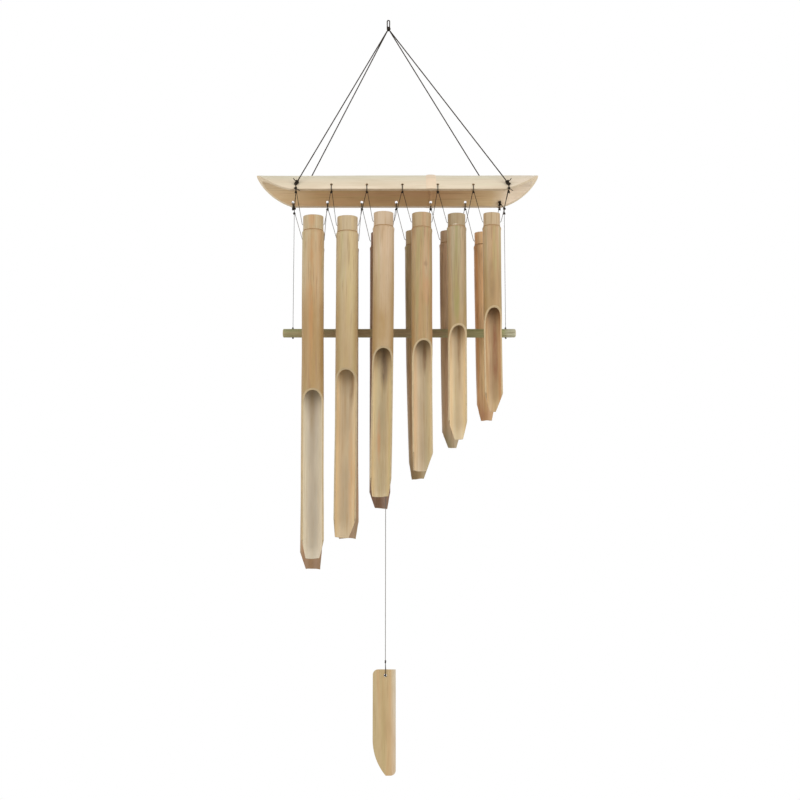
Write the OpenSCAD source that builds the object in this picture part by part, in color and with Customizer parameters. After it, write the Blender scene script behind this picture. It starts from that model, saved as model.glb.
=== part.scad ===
// Bamboo wind chime: a carrier split from a large culm hangs from a cord loop and carries two
// rows of six scooped bamboo tubes, with a striker rod and a wind sail hung between the rows.
// Millimetres. The hook bears on the hanging loop at the origin, +Z is up, X runs along the
// carrier and the front row is on the -Y side. Lists run from the longest tube to the shortest.

/* [Hanging] */
// Length of the hanging loop, from the hook to the middle of the apex knot
loop_len = 12; // [10:0.5:40]
// Clear width inside the hanging loop
loop_gap = 1.6; // [1.2:0.1:4]
// Height of the apex knot above the rim of the carrier
hang_h = 252; // [180:1:360]
// Diameter of the apex knot
apex_knot_d = 6; // [5:0.1:9]
// Length of each hanging cord that is bound into the apex knot
apex_bound = 8; // [8:0.5:14]
// Thickness of the hanging cords
hang_cord_d = 1.8; // [1.4:0.1:2.2]
// Diameter of the knots that end the hanging cords
end_knot_d = 4; // [3:0.1:4.6]
// Height of those knots above the lacing holes, along the cord
end_knot_up = 4.5; // [4.4:0.1:8]

/* [Carrier] */
// Outer radius of the culm that the carrier is split from
carrier_r = 48; // [44:0.5:56]
// Height of the carrier from its rim to its ridge
carrier_rise = 31; // [27:0.5:36]
// Wall of the culm
carrier_wall = 8; // [6:0.5:10]
// Reach of the left tip past the first pair of lacing holes
left_tip = 53; // [46:0.5:70]
// Reach of the right tip past the last pair of lacing holes
right_tip = 48; // [46:0.5:70]
// Length over which each end is cut away from the tip to the rim
end_cut_len = 49; // [36:0.5:52]
// Radius of the rounded end cut
end_cut_r = 100; // [70:1:200]
// Distance of the culm's node ring from the middle of the lacing
ring_x = 44; // [30:1:66]
// Width of the node ring
ring_w = 14; // [5:0.5:16]
// Height of the node ring above the skin of the culm
ring_h = 1.2; // [0.5:0.1:2.5]
// Width of the trimmed septum inside the node ring
septum_w = 5; // [3:0.5:8]
// Height of the trimmed septum above the inner wall
septum_h = 2.5; // [1:0.1:4]
// Height above the rim at which the trimmed septum ends
septum_end = 10; // [8:0.5:16]

/* [Lacing] */
// Distance of the middle of the lacing to the right of the hanging loop
lacing_x = 15.5; // [-20:0.5:30]
// Spacing of the lacing holes along each rim
hole_pitch = 49; // [46:0.5:58]
// Diameter of the lacing holes
hole_d = 4; // [3:0.1:5]
// Height of the lacing holes above the rim
hole_h = 6; // [5.8:0.1:8]
// Upward slope of the lacing holes, from inside to outside
hole_tilt = 19; // [10:1:30]
// Distance by which the front row of holes lies to the right of the back row
row_stagger = 8.5; // [0:0.5:10]
// Thickness of the lacing cord
lace_d = 1.2; // [0.9:0.1:1.5]
// Thickness of the turns of a lacing loop at the corners of the rim
turn_d = 2.2; // [2.1:0.1:2.3]
// Slack of a lacing loop at the corners of the rim
loop_slack = 0.5; // [0.5:0.05:0.8]
// Thickness of a lacing knot
knot_d = 2.6; // [2:0.1:3.2]
// Distance of the knotted eyes below the rim
knot_clear = 1.5; // [1:0.1:4]
// Thickness of the cord turned round a knot
eye_t = 0.9; // [0.7:0.1:1.2]
// Width of the cord turned round a knot
eye_w = 1.6; // [1.2:0.1:2]

/* [Tubes] */
// Outer diameters of the tubes
tube_d = [30, 30, 29, 28.5, 26, 25]; // [22:0.5:34]
// Lengths of the tubes in the front row
front_len = [471, 442, 393, 357, 313, 276]; // [240:1:520]
// Lengths of the tubes in the back row
back_len = [479, 437, 396, 357, 314, 273]; // [240:1:520]
// Distances of the tops of the front tubes below the rim
front_drop = [38, 39, 33, 34, 35, 34]; // [30:0.5:60]
// Distances of the tops of the back tubes below the rim
back_drop = [38, 38, 38, 36, 36, 38]; // [30:0.5:60]
// Distances of the front tubes to the right of the middle between their knots
front_shift = [0, -2, -1.5, 2, 1, 0.5]; // [-5:0.5:5]
// Distances of the back tubes to the right of the middle between their knots
back_shift = [5, 5, 2, 2, 1, 0]; // [-5:0.5:5]
// Distances of the scoop mouths below the tops of the tubes
scoop_at = [244, 215, 191, 179, 157, 133]; // [110:1:280]
// Angles by which the scoops of the front tubes face to the right
front_turn = [2, -2, 5, 14, 12, 12]; // [-20:1:20]
// Lengths of the necks above the node lines
neck_len = [22, 23, 21, 22, 19, 19.5]; // [19:0.5:30]
// Wall of the tubes
tube_wall = 2.2; // [1.8:0.1:4]
// Amount by which a neck is thinner than its tube, on the radius
neck_step = 1; // [0.5:0.1:1.5]
// Depth of the groove at a node line
groove_depth = 0.5; // [0.2:0.1:0.8]
// Height of the swelling below a node line
node_swell = 0.4; // [0.2:0.1:1]
// Thickness of the septum that closes a tube at its node line
tube_septum = 5; // [3:0.5:8]
// Distance of the cord bore below the top of a tube
bore_depth = 13; // [10:0.5:15]
// Radius of the curved run from the scoop mouth to the open half
scoop_r = 48; // [30:1:80]
// Height of the trimmed corners at the lower end of a tube
trim_h = 24; // [12:0.5:40]
// Depths of the left trimmed corners of the front tubes
front_trim_left = [5, 2, 3.5, 1, 9, 7]; // [0.5:0.5:11]
// Depths of the right trimmed corners of the front tubes
front_trim_right = [7, 10, 4, 10, 6, 10]; // [0.5:0.5:11]
// Depths of the left trimmed corners of the back tubes
back_trim_left = [8.5, 3, 8, 3, 8, 5]; // [0.5:0.5:11]
// Depths of the right trimmed corners of the back tubes
back_trim_right = [2, 4, 4, 9, 7, 5]; // [0.5:0.5:11]

/* [Striker] */
// Diameter of the striker rod
rod_d = 12; // [8:0.5:16]
// Reach of the rod past each of its cords
rod_overhang = 14; // [8:0.5:30]
// Distance of the rod's axis below the rim
rod_drop = 194; // [150:1:230]
// Distance of the bridle knots below the rim
bridle_drop = 15; // [10:0.5:25]
// Length of the links that hang from the knots of the bridles and of the sail hitch
link_len = 7; // [6:0.5:12]
// Thickness of the sail's hitch, tied round the rod
hitch_t = 1.2; // [0.8:0.1:2]
// Thickness of the doubled cord that goes through each end of the rod
plug_d = 2; // [1.6:0.1:2.6]
// Diameter of the knots above and below the rod that hold it
stopper_d = 3.2; // [2.8:0.1:4.5]
// Height over which that cord forks above the rod
fork_h = 4.5; // [4:0.1:8]

/* [Sail] */
// Distance of the sail's cord from the middle of the lacing
sail_x = -18.5; // [-40:0.5:40]
// Distance of the sail's top edge below the rim
sail_drop = 654; // [600:1:760]
// Width of the sail
sail_w = 31; // [22:0.5:44]
// Length of the sail
sail_len = 139; // [110:1:200]
// Wall of the split culm that the sail is cut from
sail_wall = 4; // [3:0.5:6]
// Outer radius of the split culm that the sail is cut from
sail_r = 30; // [26:0.5:60]
// Radius of the curve that brings the left edge to the tip
sail_curve_r = 72; // [60:1:120]
// Height of that curve above the tip
sail_curve_h = 47; // [30:1:56]
// Radius of the rounded corners at the top and at the tip
sail_corner_r = 7; // [3:0.5:9]
// Distance of the sail's middle from its cord
sail_shift = -1.5; // [-4:0.5:4]
// Diameter of the hole in the sail
sail_hole_d = 4; // [3:0.1:6]
// Distance of that hole below the top edge
sail_hole_at = 8; // [6:0.5:14]
// Height of the sail's knot above the top edge
sail_knot_up = 11; // [8:0.5:20]
// Thickness of the sail's cord
sail_cord_d = 1; // [0.8:0.1:1.4]

/* [Fits] */
// Clearance round a cord or knot that turns
turn_gap = 0.25; // [0.15:0.05:0.35]
// Clearance between a seated cord and what carries it
seat_gap = 0.25; // [0.15:0.05:0.4]
// Clearance beside an eye or a strand
side_gap = 0.35; // [0.25:0.05:0.5]

/* [Hidden] */
$fn = 48;
// Extra thickness of the bead where two strands meet, and the overrun of a cut
bead = 0.2;
ball_turn = [35, 50, 0];
over = 1;
tubes = len(tube_d);
rows = ["front", "back"];

// Heights
rim_z = -(loop_len + hang_h);
culm_drop = carrier_r - carrier_rise;
culm_z = rim_z - culm_drop;

// Rims, rows and holes
culm_in = carrier_r - carrier_wall;
rim_out = sqrt(carrier_r * carrier_r - culm_drop * culm_drop);
rim_in = sqrt(culm_in * culm_in - culm_drop * culm_drop);
row_y = (rim_out + rim_in) / 2;
hole_mid = [sqrt(pow(carrier_r - carrier_wall / 2, 2) - pow(culm_drop + hole_h, 2)), culm_drop + hole_h];
hole_way = [cos(hole_tilt), sin(hole_tilt)];
ring_at = lacing_x + ring_x;
end_x = tubes * hole_pitch / 2;
left_end = lacing_x - end_x - left_tip;
right_end = lacing_x + end_x + right_tip;

// Knots, eyes and the strands beside them
eye_in = knot_d + 2 * turn_gap;
eye_out = eye_in + 2 * eye_t;
eye_mid = (eye_in + eye_t) / 2;
beside = eye_w / 2 + side_gap + lace_d / 2;
knot_len = 2 * beside + lace_d;
rim_knot_len = 2 * (beside + eye_w / 2 + side_gap);
knot_z = rim_z - knot_clear - eye_out / 2;
lace_off = lace_d / 2 + loop_slack;
lace_bore = lace_d + 2 * turn_gap;

// Striker and sail
rod_z = rim_z - rod_drop;
bridle_z = rim_z - bridle_drop;
link_z = bridle_z - link_len;
hitch_in = rod_d / 2 + seat_gap;
hitch_out = hitch_in + hitch_t;
rod_knot_z = rod_z + rod_d / 2 + fork_h + eye_out / 2 + side_gap;
sail_cord_x = lacing_x + sail_x;
sail_hitch_z = rod_z - hitch_out - eye_out / 2 - side_gap;
sail_link_z = sail_hitch_z - link_len;
sail_z = rim_z - sail_drop;
sail_knot_z = sail_z + sail_knot_up;
sail_knot_d = sail_cord_d + 2 * turn_gap + 2 * eye_t;
sail_knot_h = 3 * eye_out / 2;
apex = [0, 0, -loop_len];

// A row is "front" or "back". Its side is the sign of its Y.
function side(row) = row == "front" ? -1 : 1;
function hole_x(row, i) = lacing_x - side(row) * row_stagger / 2 + (i - tubes / 2) * hole_pitch;
function shift(row, i) = row == "front" ? front_shift[i] : back_shift[i];
function drop(row, i) = row == "front" ? front_drop[i] : back_drop[i];
function tube_len(row, i) = row == "front" ? front_len[i] : back_len[i];
function trim_left(row, i) = row == "front" ? front_trim_left[i] : back_trim_left[i];
function trim_right(row, i) = row == "front" ? front_trim_right[i] : back_trim_right[i];
function turn(row, i) = row == "front" ? front_turn[i] : 0;
function tube_x(row, i) = (hole_x(row, i) + hole_x(row, i + 1)) / 2 + shift(row, i);
function top_z(row, i) = rim_z - drop(row, i);
function neck_r(i) = tube_d[i] / 2 - neck_step;
function end_hole(end) = end == "left" ? 0 : tubes;
function pair_x(end) = lacing_x + (end == "left" ? -end_x : end_x);
function unit(v) = v / norm(v);

// A point on the axis of a lacing hole, at a radius from the culm's axis
function on_hole(row, x, radius) =
    let (
        near = hole_mid * hole_way,
        p = hole_mid + (sqrt(near * near + radius * radius - hole_mid * hole_mid) - near) * hole_way
    )
    [x, side(row) * p.x, culm_z + p.y];
function skin_r(x) = carrier_r + (abs(x - ring_at) < (ring_w + turn_d) / 2 ? ring_h : 0);
function hole_mouth(row, x) = on_hole(row, x, skin_r(x) + lace_off);
function hole_inside(row, x) = on_hole(row, x, culm_in - lace_off);

// A straight length of cord
module strand(p, q, d) {
    v = q - p;
    translate(p)
        rotate([0, acos(v.z / norm(v)), atan2(v.y, v.x)])
            cylinder(h = norm(v), d = d);
}

// A round knot, turned so that its poles lie off the strands that meet in it
module ball(p, d) {
    translate(p)
        rotate(ball_turn)
            sphere(d = d);
}

// Straight lengths of cord from point to point, with a bead at each turn
module route(points, d) {
    for (i = [1 : len(points) - 1])
        strand(points[i - 1], points[i], d);
    for (i = [1 : len(points) - 2])
        ball(points[i], d + bead);
}

module along(axis) {
    rotate(axis == "x" ? [0, 90, 0] : [90, 0, 0])
        children();
}

module ring(p, axis, inner_d, outer_d, width) {
    translate(p)
        along(axis)
            difference() {
                cylinder(d = outer_d, h = width, center = true);
                cylinder(d = inner_d, h = width + over, center = true);
            }
}

// The knot that an eye turns on, and the eye of cord round it
module knot(p, axis, length) {
    translate(p)
        along(axis)
            cylinder(d = knot_d, h = length, center = true);
}

module eye(p, axis) {
    ring(p, axis, eye_in, eye_out, eye_w);
}

// A link: an eye that turns about X, and two strands down to a knot along Y
module link(x, top, bottom) {
    eye([x, 0, top], "x");
    for (s = [-1, 1])
        strand([x, s * eye_mid * sin(40), top - eye_mid * cos(40)], [x, s * beside, bottom], lace_d);
    knot([x, 0, bottom], "y", knot_len);
}

// A loop through a lacing hole and round the rim, with the knot that hangs below it
module rim_loop(row, x) {
    s = side(row);
    mouth = hole_mouth(row, x);
    rim_y = sqrt(skin_r(x) * skin_r(x) - culm_drop * culm_drop);
    under_out = [x, s * (rim_y + lace_off), rim_z - lace_off];
    under_in = [x, s * (rim_in - lace_off), rim_z - lace_off];
    inside = hole_inside(row, x);
    corners = [mouth, under_out, under_in, inside];
    for (i = [0 : 3]) {
        strand(corners[i], corners[(i + 1) % 4], lace_d);
        ball(corners[i], turn_d);
    }
    strand([x, s * row_y, rim_z - lace_off], [x, s * row_y, knot_z], eye_t);
    knot([x, s * row_y, knot_z], "x", rim_knot_len);
}

// Half of a culm that lies along X, above its rim, with its node ring; it's a little longer than
// the carrier, so that the end cuts alone shape the tips
module split_culm() {
    length = right_end - left_end + 2 * over;
    ring_z = ring_at - left_end + over;
    translate([left_end - over, 0, culm_z])
        rotate([0, 90, 0])
            difference() {
                union() {
                    cylinder(r = carrier_r, h = length);
                    translate([0, 0, ring_z])
                        cylinder(r = carrier_r + ring_h, h = ring_w, center = true);
                }
                difference() {
                    translate([0, 0, -over])
                        cylinder(r = culm_in, h = length + 2 * over);
                    translate([0, 0, ring_z])
                        difference() {
                            cylinder(r = carrier_r, h = septum_w, center = true);
                            translate([-culm_drop - septum_end, -carrier_r, -septum_w])
                                cube(2 * carrier_r);
                        }
                }
                translate([0, 0, -over])
                    cylinder(r = culm_in - septum_h, h = length + 2 * over);
            }
}

// Side outline of one end: the tip at the ridge runs down to the rim on a round cut
module end_outline() {
    chord = [end_cut_len, -carrier_rise];
    reach = sqrt(end_cut_r * end_cut_r - chord * chord / 4);
    centre = [end_cut_len, carrier_rise] / 2 + unit([carrier_rise, end_cut_len]) * reach;
    intersection() {
        translate([-over, 0])
            square([end_cut_len + 2 * over, carrier_rise + ring_h + over]);
        translate(centre)
            circle(r = end_cut_r, $fn = 96);
    }
}

module side_outline() {
    translate([left_end, 0])
        end_outline();
    translate([right_end, 0])
        mirror([1, 0])
            end_outline();
    translate([left_end + end_cut_len, 0])
        square([right_end - left_end - 2 * end_cut_len, carrier_rise + ring_h + over]);
}

module carrier() {
    color("wheat")
        difference() {
            intersection() {
                split_culm();
                translate([0, carrier_r + 2 * ring_h, rim_z])
                    rotate([90, 0, 0])
                        linear_extrude(2 * carrier_r + 4 * ring_h)
                            side_outline();
            }
            for (row = rows, i = [0 : tubes])
                strand(
                    on_hole(row, hole_x(row, i), culm_in - septum_h - over),
                    on_hole(row, hole_x(row, i), carrier_r + ring_h + over),
                    hole_d
                );
        }
}

module hanging_loop() {
    strand_x = (loop_gap + hang_cord_d) / 2;
    bend_z = -loop_gap / 2;
    color("dimgray") {
        for (s = [-1, 1])
            strand([s * strand_x, 0, bend_z], [s * strand_x, 0, -loop_len], hang_cord_d);
        translate([0, 0, bend_z])
            rotate([90, 0, 0])
                rotate_extrude(angle = 180)
                    translate([strand_x, 0])
                        circle(d = hang_cord_d);
        ball(apex, apex_knot_d);
        for (row = rows, end = ["left", "right"])
            strand(apex, apex + unit(cord_run(row, end)) * apex_bound, hang_cord_d);
    }
}

// The run of a hanging cord, from the apex to the mouth of its lacing hole
function cord_run(row, end) = hole_mouth(row, hole_x(row, end_hole(end))) - apex;

module hanging_cord(row, end) {
    x = hole_x(row, end_hole(end));
    along_cord = unit(cord_run(row, end));
    mouth = hole_mouth(row, x);
    color("dimgray") {
        strand(apex + along_cord * apex_bound, mouth, hang_cord_d);
        ball(mouth - along_cord * end_knot_up, end_knot_d);
        rim_loop(row, x);
    }
}

module rim_knots(row) {
    color("dimgray")
        for (i = [1 : tubes - 1])
            rim_loop(row, hole_x(row, i));
}

// Two strands from the end holes of both rims to a knot between the rows
module bridle(end) {
    x = pair_x(end);
    color("dimgray") {
        for (row = rows) {
            inside = hole_inside(row, hole_x(row, end_hole(end)));
            foot = [x - side(row) * beside, 0, bridle_z];
            start = inside + unit(foot - inside) * (turn_d / 2 + seat_gap);
            strand(start, foot, lace_d);
        }
        knot([x, 0, bridle_z], "x", knot_len);
    }
}

module rod_link(end) {
    color("dimgray")
        link(pair_x(end), bridle_z, link_z);
}

module rod_cord(end) {
    x = pair_x(end);
    color("dimgray") {
        eye([x, 0, link_z], "y");
        strand([x, 0, link_z - eye_mid], [x, 0, rod_knot_z + eye_mid], lace_d);
        eye([x, 0, rod_knot_z], "y");
    }
}

module striker_rod() {
    length = 2 * (end_x + rod_overhang);
    color("olivedrab")
        difference() {
            translate([lacing_x, 0, rod_z])
                along("x")
                    cylinder(d = rod_d, h = length, center = true);
            for (end = ["left", "right"])
                translate([pair_x(end), 0, rod_z])
                    cylinder(d = plug_d + 2 * seat_gap, h = 2 * rod_d, center = true);
        }
}

// Doubled cord through the ends of the rod, with a knot below, and a fork to the upper knot
module rod_ties() {
    rod_top = rod_z + rod_d / 2;
    above = rod_top + seat_gap + stopper_d / 2;
    below = rod_z - rod_d / 2 - seat_gap - stopper_d / 2;
    color("dimgray")
        for (end = ["left", "right"]) {
            x = pair_x(end);
            ball([x, 0, below], stopper_d);
            ball([x, 0, above], stopper_d);
            strand([x, 0, below], [x, 0, above], plug_d);
            for (s = [-1, 1])
                route(
                    [
                        [x, s * lace_d / 2, above],
                        [x, s * beside, rod_top + fork_h - lace_d / 2],
                        [x, s * beside, rod_knot_z]
                    ],
                    lace_d
                );
            knot([x, 0, rod_knot_z], "y", knot_len);
        }
}

module sail_hitch() {
    x = sail_cord_x;
    color("dimgray") {
        ring([x, 0, rod_z], "x", 2 * hitch_in, 2 * hitch_out, knot_len);
        for (s = [-1, 1])
            strand([x + s * beside, 0, rod_z - hitch_in], [x + s * beside, 0, sail_hitch_z], lace_d);
        knot([x, 0, sail_hitch_z], "x", knot_len);
    }
}

module sail_link() {
    color("dimgray")
        link(sail_cord_x, sail_hitch_z, sail_link_z);
}

module sail_cord() {
    x = sail_cord_x;
    color("dimgray") {
        eye([x, 0, sail_link_z], "y");
        strand([x, 0, sail_link_z - eye_mid], [x, 0, sail_knot_z + seat_gap], sail_cord_d);
    }
}

// The knot above the sail, bored for its cord, and the loop through the sail's hole
module sail_loop() {
    x = sail_cord_x;
    off = sail_wall / 2 + sail_cord_d / 2 + seat_gap;
    start_y = (sail_knot_d - sail_cord_d) / 2;
    start_z = sail_knot_z - sail_knot_h / 2;
    hole_z = sail_z - sail_hole_at;
    color("dimgray") {
        difference() {
            translate([x, 0, start_z])
                cylinder(d = sail_knot_d, h = sail_knot_h);
            translate([x, 0, sail_knot_z])
                cylinder(d = sail_cord_d + 2 * turn_gap, h = sail_knot_h);
        }
        route(
            [
                [x, -start_y, start_z + sail_cord_d],
                [x, -off, sail_z],
                [x, -off, hole_z],
                [x, off, hole_z],
                [x, off, sail_z],
                [x, start_y, start_z + sail_cord_d]
            ],
            sail_cord_d
        );
    }
}

// Outline of the sail from its top middle: straight edges, and a left edge that curves to the tip
module sail_outline() {
    half = sail_w / 2;
    intersection() {
        translate([-half, -sail_len])
            square([sail_w, sail_len]);
        union() {
            translate([-half, -sail_len + sail_curve_h])
                square([sail_w, sail_len]);
            translate([-half + sail_curve_r, -sail_len + sail_curve_h])
                circle(r = sail_curve_r, $fn = 96);
        }
        union() {
            translate([-half, -sail_len + sail_corner_r])
                square([sail_w, sail_len - 2 * sail_corner_r]);
            translate([-half + sail_corner_r, -sail_len])
                square([sail_w - 2 * sail_corner_r, sail_len]);
            translate([half - sail_corner_r, -sail_len])
                square([sail_corner_r, sail_len]);
            translate([-half + sail_corner_r, -sail_corner_r])
                circle(r = sail_corner_r);
        }
        union() {
            translate([-half, -sail_len + sail_corner_r])
                square([sail_w, sail_len]);
            translate([-half, -sail_len])
                square([sail_w - sail_corner_r, sail_len]);
            translate([half - sail_corner_r, -sail_len + sail_corner_r])
                circle(r = sail_corner_r);
        }
    }
}

module sail() {
    x = sail_cord_x + sail_shift;
    color("tan")
        difference() {
            intersection() {
                translate([x, sail_r - sail_wall / 2, sail_z - sail_len - over])
                    difference() {
                        cylinder(r = sail_r, h = sail_len + 2 * over);
                        translate([0, 0, -over])
                            cylinder(r = sail_r - sail_wall, h = sail_len + 4 * over);
                    }
                translate([x, sail_r - sail_wall / 2, sail_z])
                    rotate([90, 0, 0])
                        linear_extrude(sail_r + over)
                            sail_outline();
            }
            translate([sail_cord_x, 0, sail_z - sail_hole_at])
                along("y")
                    cylinder(d = sail_hole_d, h = 4 * sail_wall, center = true);
        }
}

// Section of a tube from its axis outward: open neck, node line, septum and open chamber
module tube_section(i, length) {
    r = tube_d[i] / 2;
    neck = neck_r(i);
    line = -neck_len[i];
    polygon([
        [neck, 0],
        [neck, line + 2 * groove_depth],
        [neck - groove_depth, line + groove_depth],
        [neck - groove_depth, line],
        [r + node_swell, line - neck_step - groove_depth - node_swell],
        [r + node_swell, line - 2 * (neck_step + groove_depth + node_swell)],
        [r, line - tube_septum - 2 * (neck_step + groove_depth + node_swell)],
        [r, -length],
        [r - tube_wall, -length],
        [r - tube_wall, line - tube_septum],
        [0, line - tube_septum],
        [0, line],
        [neck - tube_wall, line],
        [neck - tube_wall, 0]
    ]);
}

// Side outline of the wood that a scoop takes away, with Y to the right and Z up
module scoop_outline(r, mouth, length) {
    run = sqrt(2 * scoop_r * r - r * r);
    translate([-scoop_r, -mouth - run])
        circle(r = scoop_r, $fn = 96);
    translate([-2 * scoop_r, -length - over])
        square([2 * scoop_r, length - mouth - run - over]);
}

// A triangle off one lower corner of a tube
module trimmed_corner(r, depth, length, to) {
    translate([0, r + over, -length])
        rotate([90, 0, 0])
            linear_extrude(2 * (r + over))
                polygon([
                    [to * (r - depth), -over],
                    [to * (r - depth), 0],
                    [to * r, trim_h],
                    [to * (r + over), trim_h],
                    [to * (r + over), -over]
                ]);
}

module tube(row, i) {
    r = tube_d[i] / 2;
    length = tube_len(row, i);
    color("burlywood")
        translate([tube_x(row, i), side(row) * row_y, top_z(row, i)])
            rotate([0, 0, row == "front" ? 0 : 180])
                difference() {
                    rotate_extrude()
                        tube_section(i, length);
                    rotate([0, 0, turn(row, i)])
                        translate([-r - over, 0, 0])
                            rotate([90, 0, 90])
                                linear_extrude(2 * (r + over))
                                    scoop_outline(r, scoop_at[i], length);
                    trimmed_corner(r, trim_left(row, i), length, side(row));
                    trimmed_corner(r, trim_right(row, i), length, -side(row));
                    translate([0, 0, -bore_depth])
                        along("x")
                            cylinder(d = lace_bore, h = 2 * (r + over), center = true);
                }
}

// The cord of one tube: an eye on each of two knots, and a run through the bore of the neck
module tube_cord(row, i) {
    y = side(row) * row_y;
    out = neck_r(i) + side_gap + (lace_d + bead) / 2;
    bore_z = top_z(row, i) - bore_depth;
    left_eye = [hole_x(row, i) + beside, y, knot_z];
    right_eye = [hole_x(row, i + 1) - beside, y, knot_z];
    color("dimgray") {
        eye(left_eye, "x");
        eye(right_eye, "x");
        route(
            [
                left_eye - [0, 0, eye_mid],
                [tube_x(row, i) - out, y, bore_z],
                [tube_x(row, i) + out, y, bore_z],
                right_eye - [0, 0, eye_mid]
            ],
            lace_d
        );
    }
}

carrier();
hanging_loop();
for (row = rows, end = ["left", "right"])
    hanging_cord(row, end);
for (row = rows)
    rim_knots(row);
for (end = ["left", "right"])
    bridle(end);
for (end = ["left", "right"])
    rod_link(end);
for (end = ["left", "right"])
    rod_cord(end);
striker_rod();
rod_ties();
sail_hitch();
sail_link();
sail_cord();
sail_loop();
sail();
for (row = rows, i = [0 : tubes - 1])
    tube(row, i);
for (row = rows, i = [0 : tubes - 1])
    tube_cord(row, i);
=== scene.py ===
"""Looks of the bamboo wind chime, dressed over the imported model.

Sizes are in millimetres and become metres as a mesh is built. The lights and the camera are in metres.
"""
import math

import bpy
import bmesh
import numpy as np
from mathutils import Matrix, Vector, noise


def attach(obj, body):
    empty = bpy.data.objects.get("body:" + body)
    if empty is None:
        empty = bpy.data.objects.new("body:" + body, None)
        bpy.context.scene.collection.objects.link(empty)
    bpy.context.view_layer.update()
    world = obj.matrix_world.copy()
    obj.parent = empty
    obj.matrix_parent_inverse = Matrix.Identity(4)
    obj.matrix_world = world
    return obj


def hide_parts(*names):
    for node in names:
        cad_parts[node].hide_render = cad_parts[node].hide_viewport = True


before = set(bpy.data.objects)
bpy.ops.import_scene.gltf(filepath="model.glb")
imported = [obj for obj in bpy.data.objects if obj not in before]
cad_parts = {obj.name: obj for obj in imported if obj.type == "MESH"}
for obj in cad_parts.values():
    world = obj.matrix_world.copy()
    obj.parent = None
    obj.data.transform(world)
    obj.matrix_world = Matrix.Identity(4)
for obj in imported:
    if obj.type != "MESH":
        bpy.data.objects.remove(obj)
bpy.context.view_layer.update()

MM = 0.001
UP = (0, 0, 1)

# Sizes shared with the solids
RIM_Z = -264.0
CARRIER_R = 48.0
CARRIER_WALL = 8.0
CARRIER_RISE = 31.0
CULM_DROP = CARRIER_R - CARRIER_RISE
CULM_Z = RIM_Z - CULM_DROP
CULM_IN = CARRIER_R - CARRIER_WALL
RIM_OUT = math.sqrt(CARRIER_R ** 2 - CULM_DROP ** 2)
RIM_IN = math.sqrt(CULM_IN ** 2 - CULM_DROP ** 2)
ROW_Y = (RIM_OUT + RIM_IN) / 2
LEFT_END = -184.5
RIGHT_END = 210.5
END_CUT_LEN = 49.0
END_CUT_R = 100.0
RING_AT = 59.5
RING_W = 14.0
RING_H = 1.2
SEPTUM_W = 5.0
LACING_X = 15.5
HOLE_PITCH = 49.0
HOLE_D = 4.0
HOLE_UP = CULM_DROP + 6.0
HOLE_MID = (math.sqrt((CARRIER_R - CARRIER_WALL / 2) ** 2 - HOLE_UP ** 2), HOLE_UP)
HOLE_TILT = math.radians(19)
STAGGER = 8.5
LACE_D = 1.2
LACE_OFF = 1.1
KNOT_Z = RIM_Z - 3.95
TUBES = 6
TUBE_D = (30, 30, 29, 28.5, 26, 25)
TUBE_LEN = {"front": (471, 442, 393, 357, 313, 276), "back": (479, 437, 396, 357, 314, 273)}
DROP = {"front": (38, 39, 33, 34, 35, 34), "back": (38, 38, 38, 36, 36, 38)}
SHIFT = {"front": (0, -2, -1.5, 2, 1, 0.5), "back": (5, 5, 2, 2, 1, 0)}
TRIM_LEFT = {"front": (5, 2, 3.5, 1, 9, 7), "back": (8.5, 3, 8, 3, 8, 5)}
TRIM_RIGHT = {"front": (7, 10, 4, 10, 6, 10), "back": (2, 4, 4, 9, 7, 5)}
SCOOP_AT = (244, 215, 191, 179, 157, 133)
NECK_LEN = (22, 23, 21, 22, 19, 19.5)
TURN = {"front": (2, -2, 5, 14, 12, 12), "back": (0, 0, 0, 0, 0, 0)}
TUBE_WALL = 2.2
NECK_STEP = 1.0
GROOVE = 0.5
SWELL = 0.4
TUBE_SEPTUM = 5.0
BORE_DEPTH = 13.0
SCOOP_R = 48.0
TRIM_H = 24.0
ROD_D = 12.0
ROD_Z = -458.0
ROD_LEFT = -145.5
ROD_RIGHT = 176.5
PAIR_X = {"left": -131.5, "right": 162.5}
BRIDLE_Z = -279.0
LINK_Z = -286.0
ROD_KNOT_Z = -444.7
SAIL_CORD_X = -3.0
SAIL_X = -4.5
SAIL_HITCH_Z = -468.25
SAIL_LINK_Z = -475.25
SAIL_Z = -918.0
SAIL_KNOT_Z = -907.0
SAIL_W = 31.0
SAIL_LEN = 139.0
SAIL_WALL = 4.0
SAIL_R = 30.0
SAIL_CURVE_R = 72.0
SAIL_CURVE_H = 47.0
SAIL_CORNER_R = 7.0
SAIL_HOLE_D = 4.0
SAIL_HOLE_AT = 8.0
SAIL_HOLE_Z = SAIL_Z - SAIL_HOLE_AT
HANG_CORD_D = 1.8
SAIL_CORD_D = 1.0
LOOP_LEN = 12.0
LOOP_GAP = 1.6
SIDE = {"front": -1, "back": 1}
ROWS = ("front", "back")
END_HOLES = {"left": 0, "right": TUBES}

# Sizes of the scene alone: the worn septum, thin cords, the bend and uneven ends of grown cane, and the
# play and length of a bore's cutter
SEPTUM_H = 2.2
THREAD_D = 0.7
V_CORD_D = 0.9
BEND = {"front": (3.5, -1.5, -3.5, 1.0, 0, 1.0), "back": (0.5, 2.0, 0, 6.0, 2.5, 2.5)}
TOP_SLANT = 1.4
LINE_TILT = 0.7
END_TILT = 1.2
BORE_PLAY = 0.5
OVER = 2
BACK_TIE_IN = {"left": 2.5, "right": 0.0}

# Unevenness of a tube's edges, girth and bow: length of a wave, depth, and the length it comes in over
EDGE_WAVE, EDGE_DEPTH, EDGE_EASE = 35, 0.5, 20
BULGE_WAVE, BULGE_SHARE = 70, 0.018
BOW_WAVE, BOW_DEPTH, BOW_EASE = 160, 0.4, 60

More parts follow.
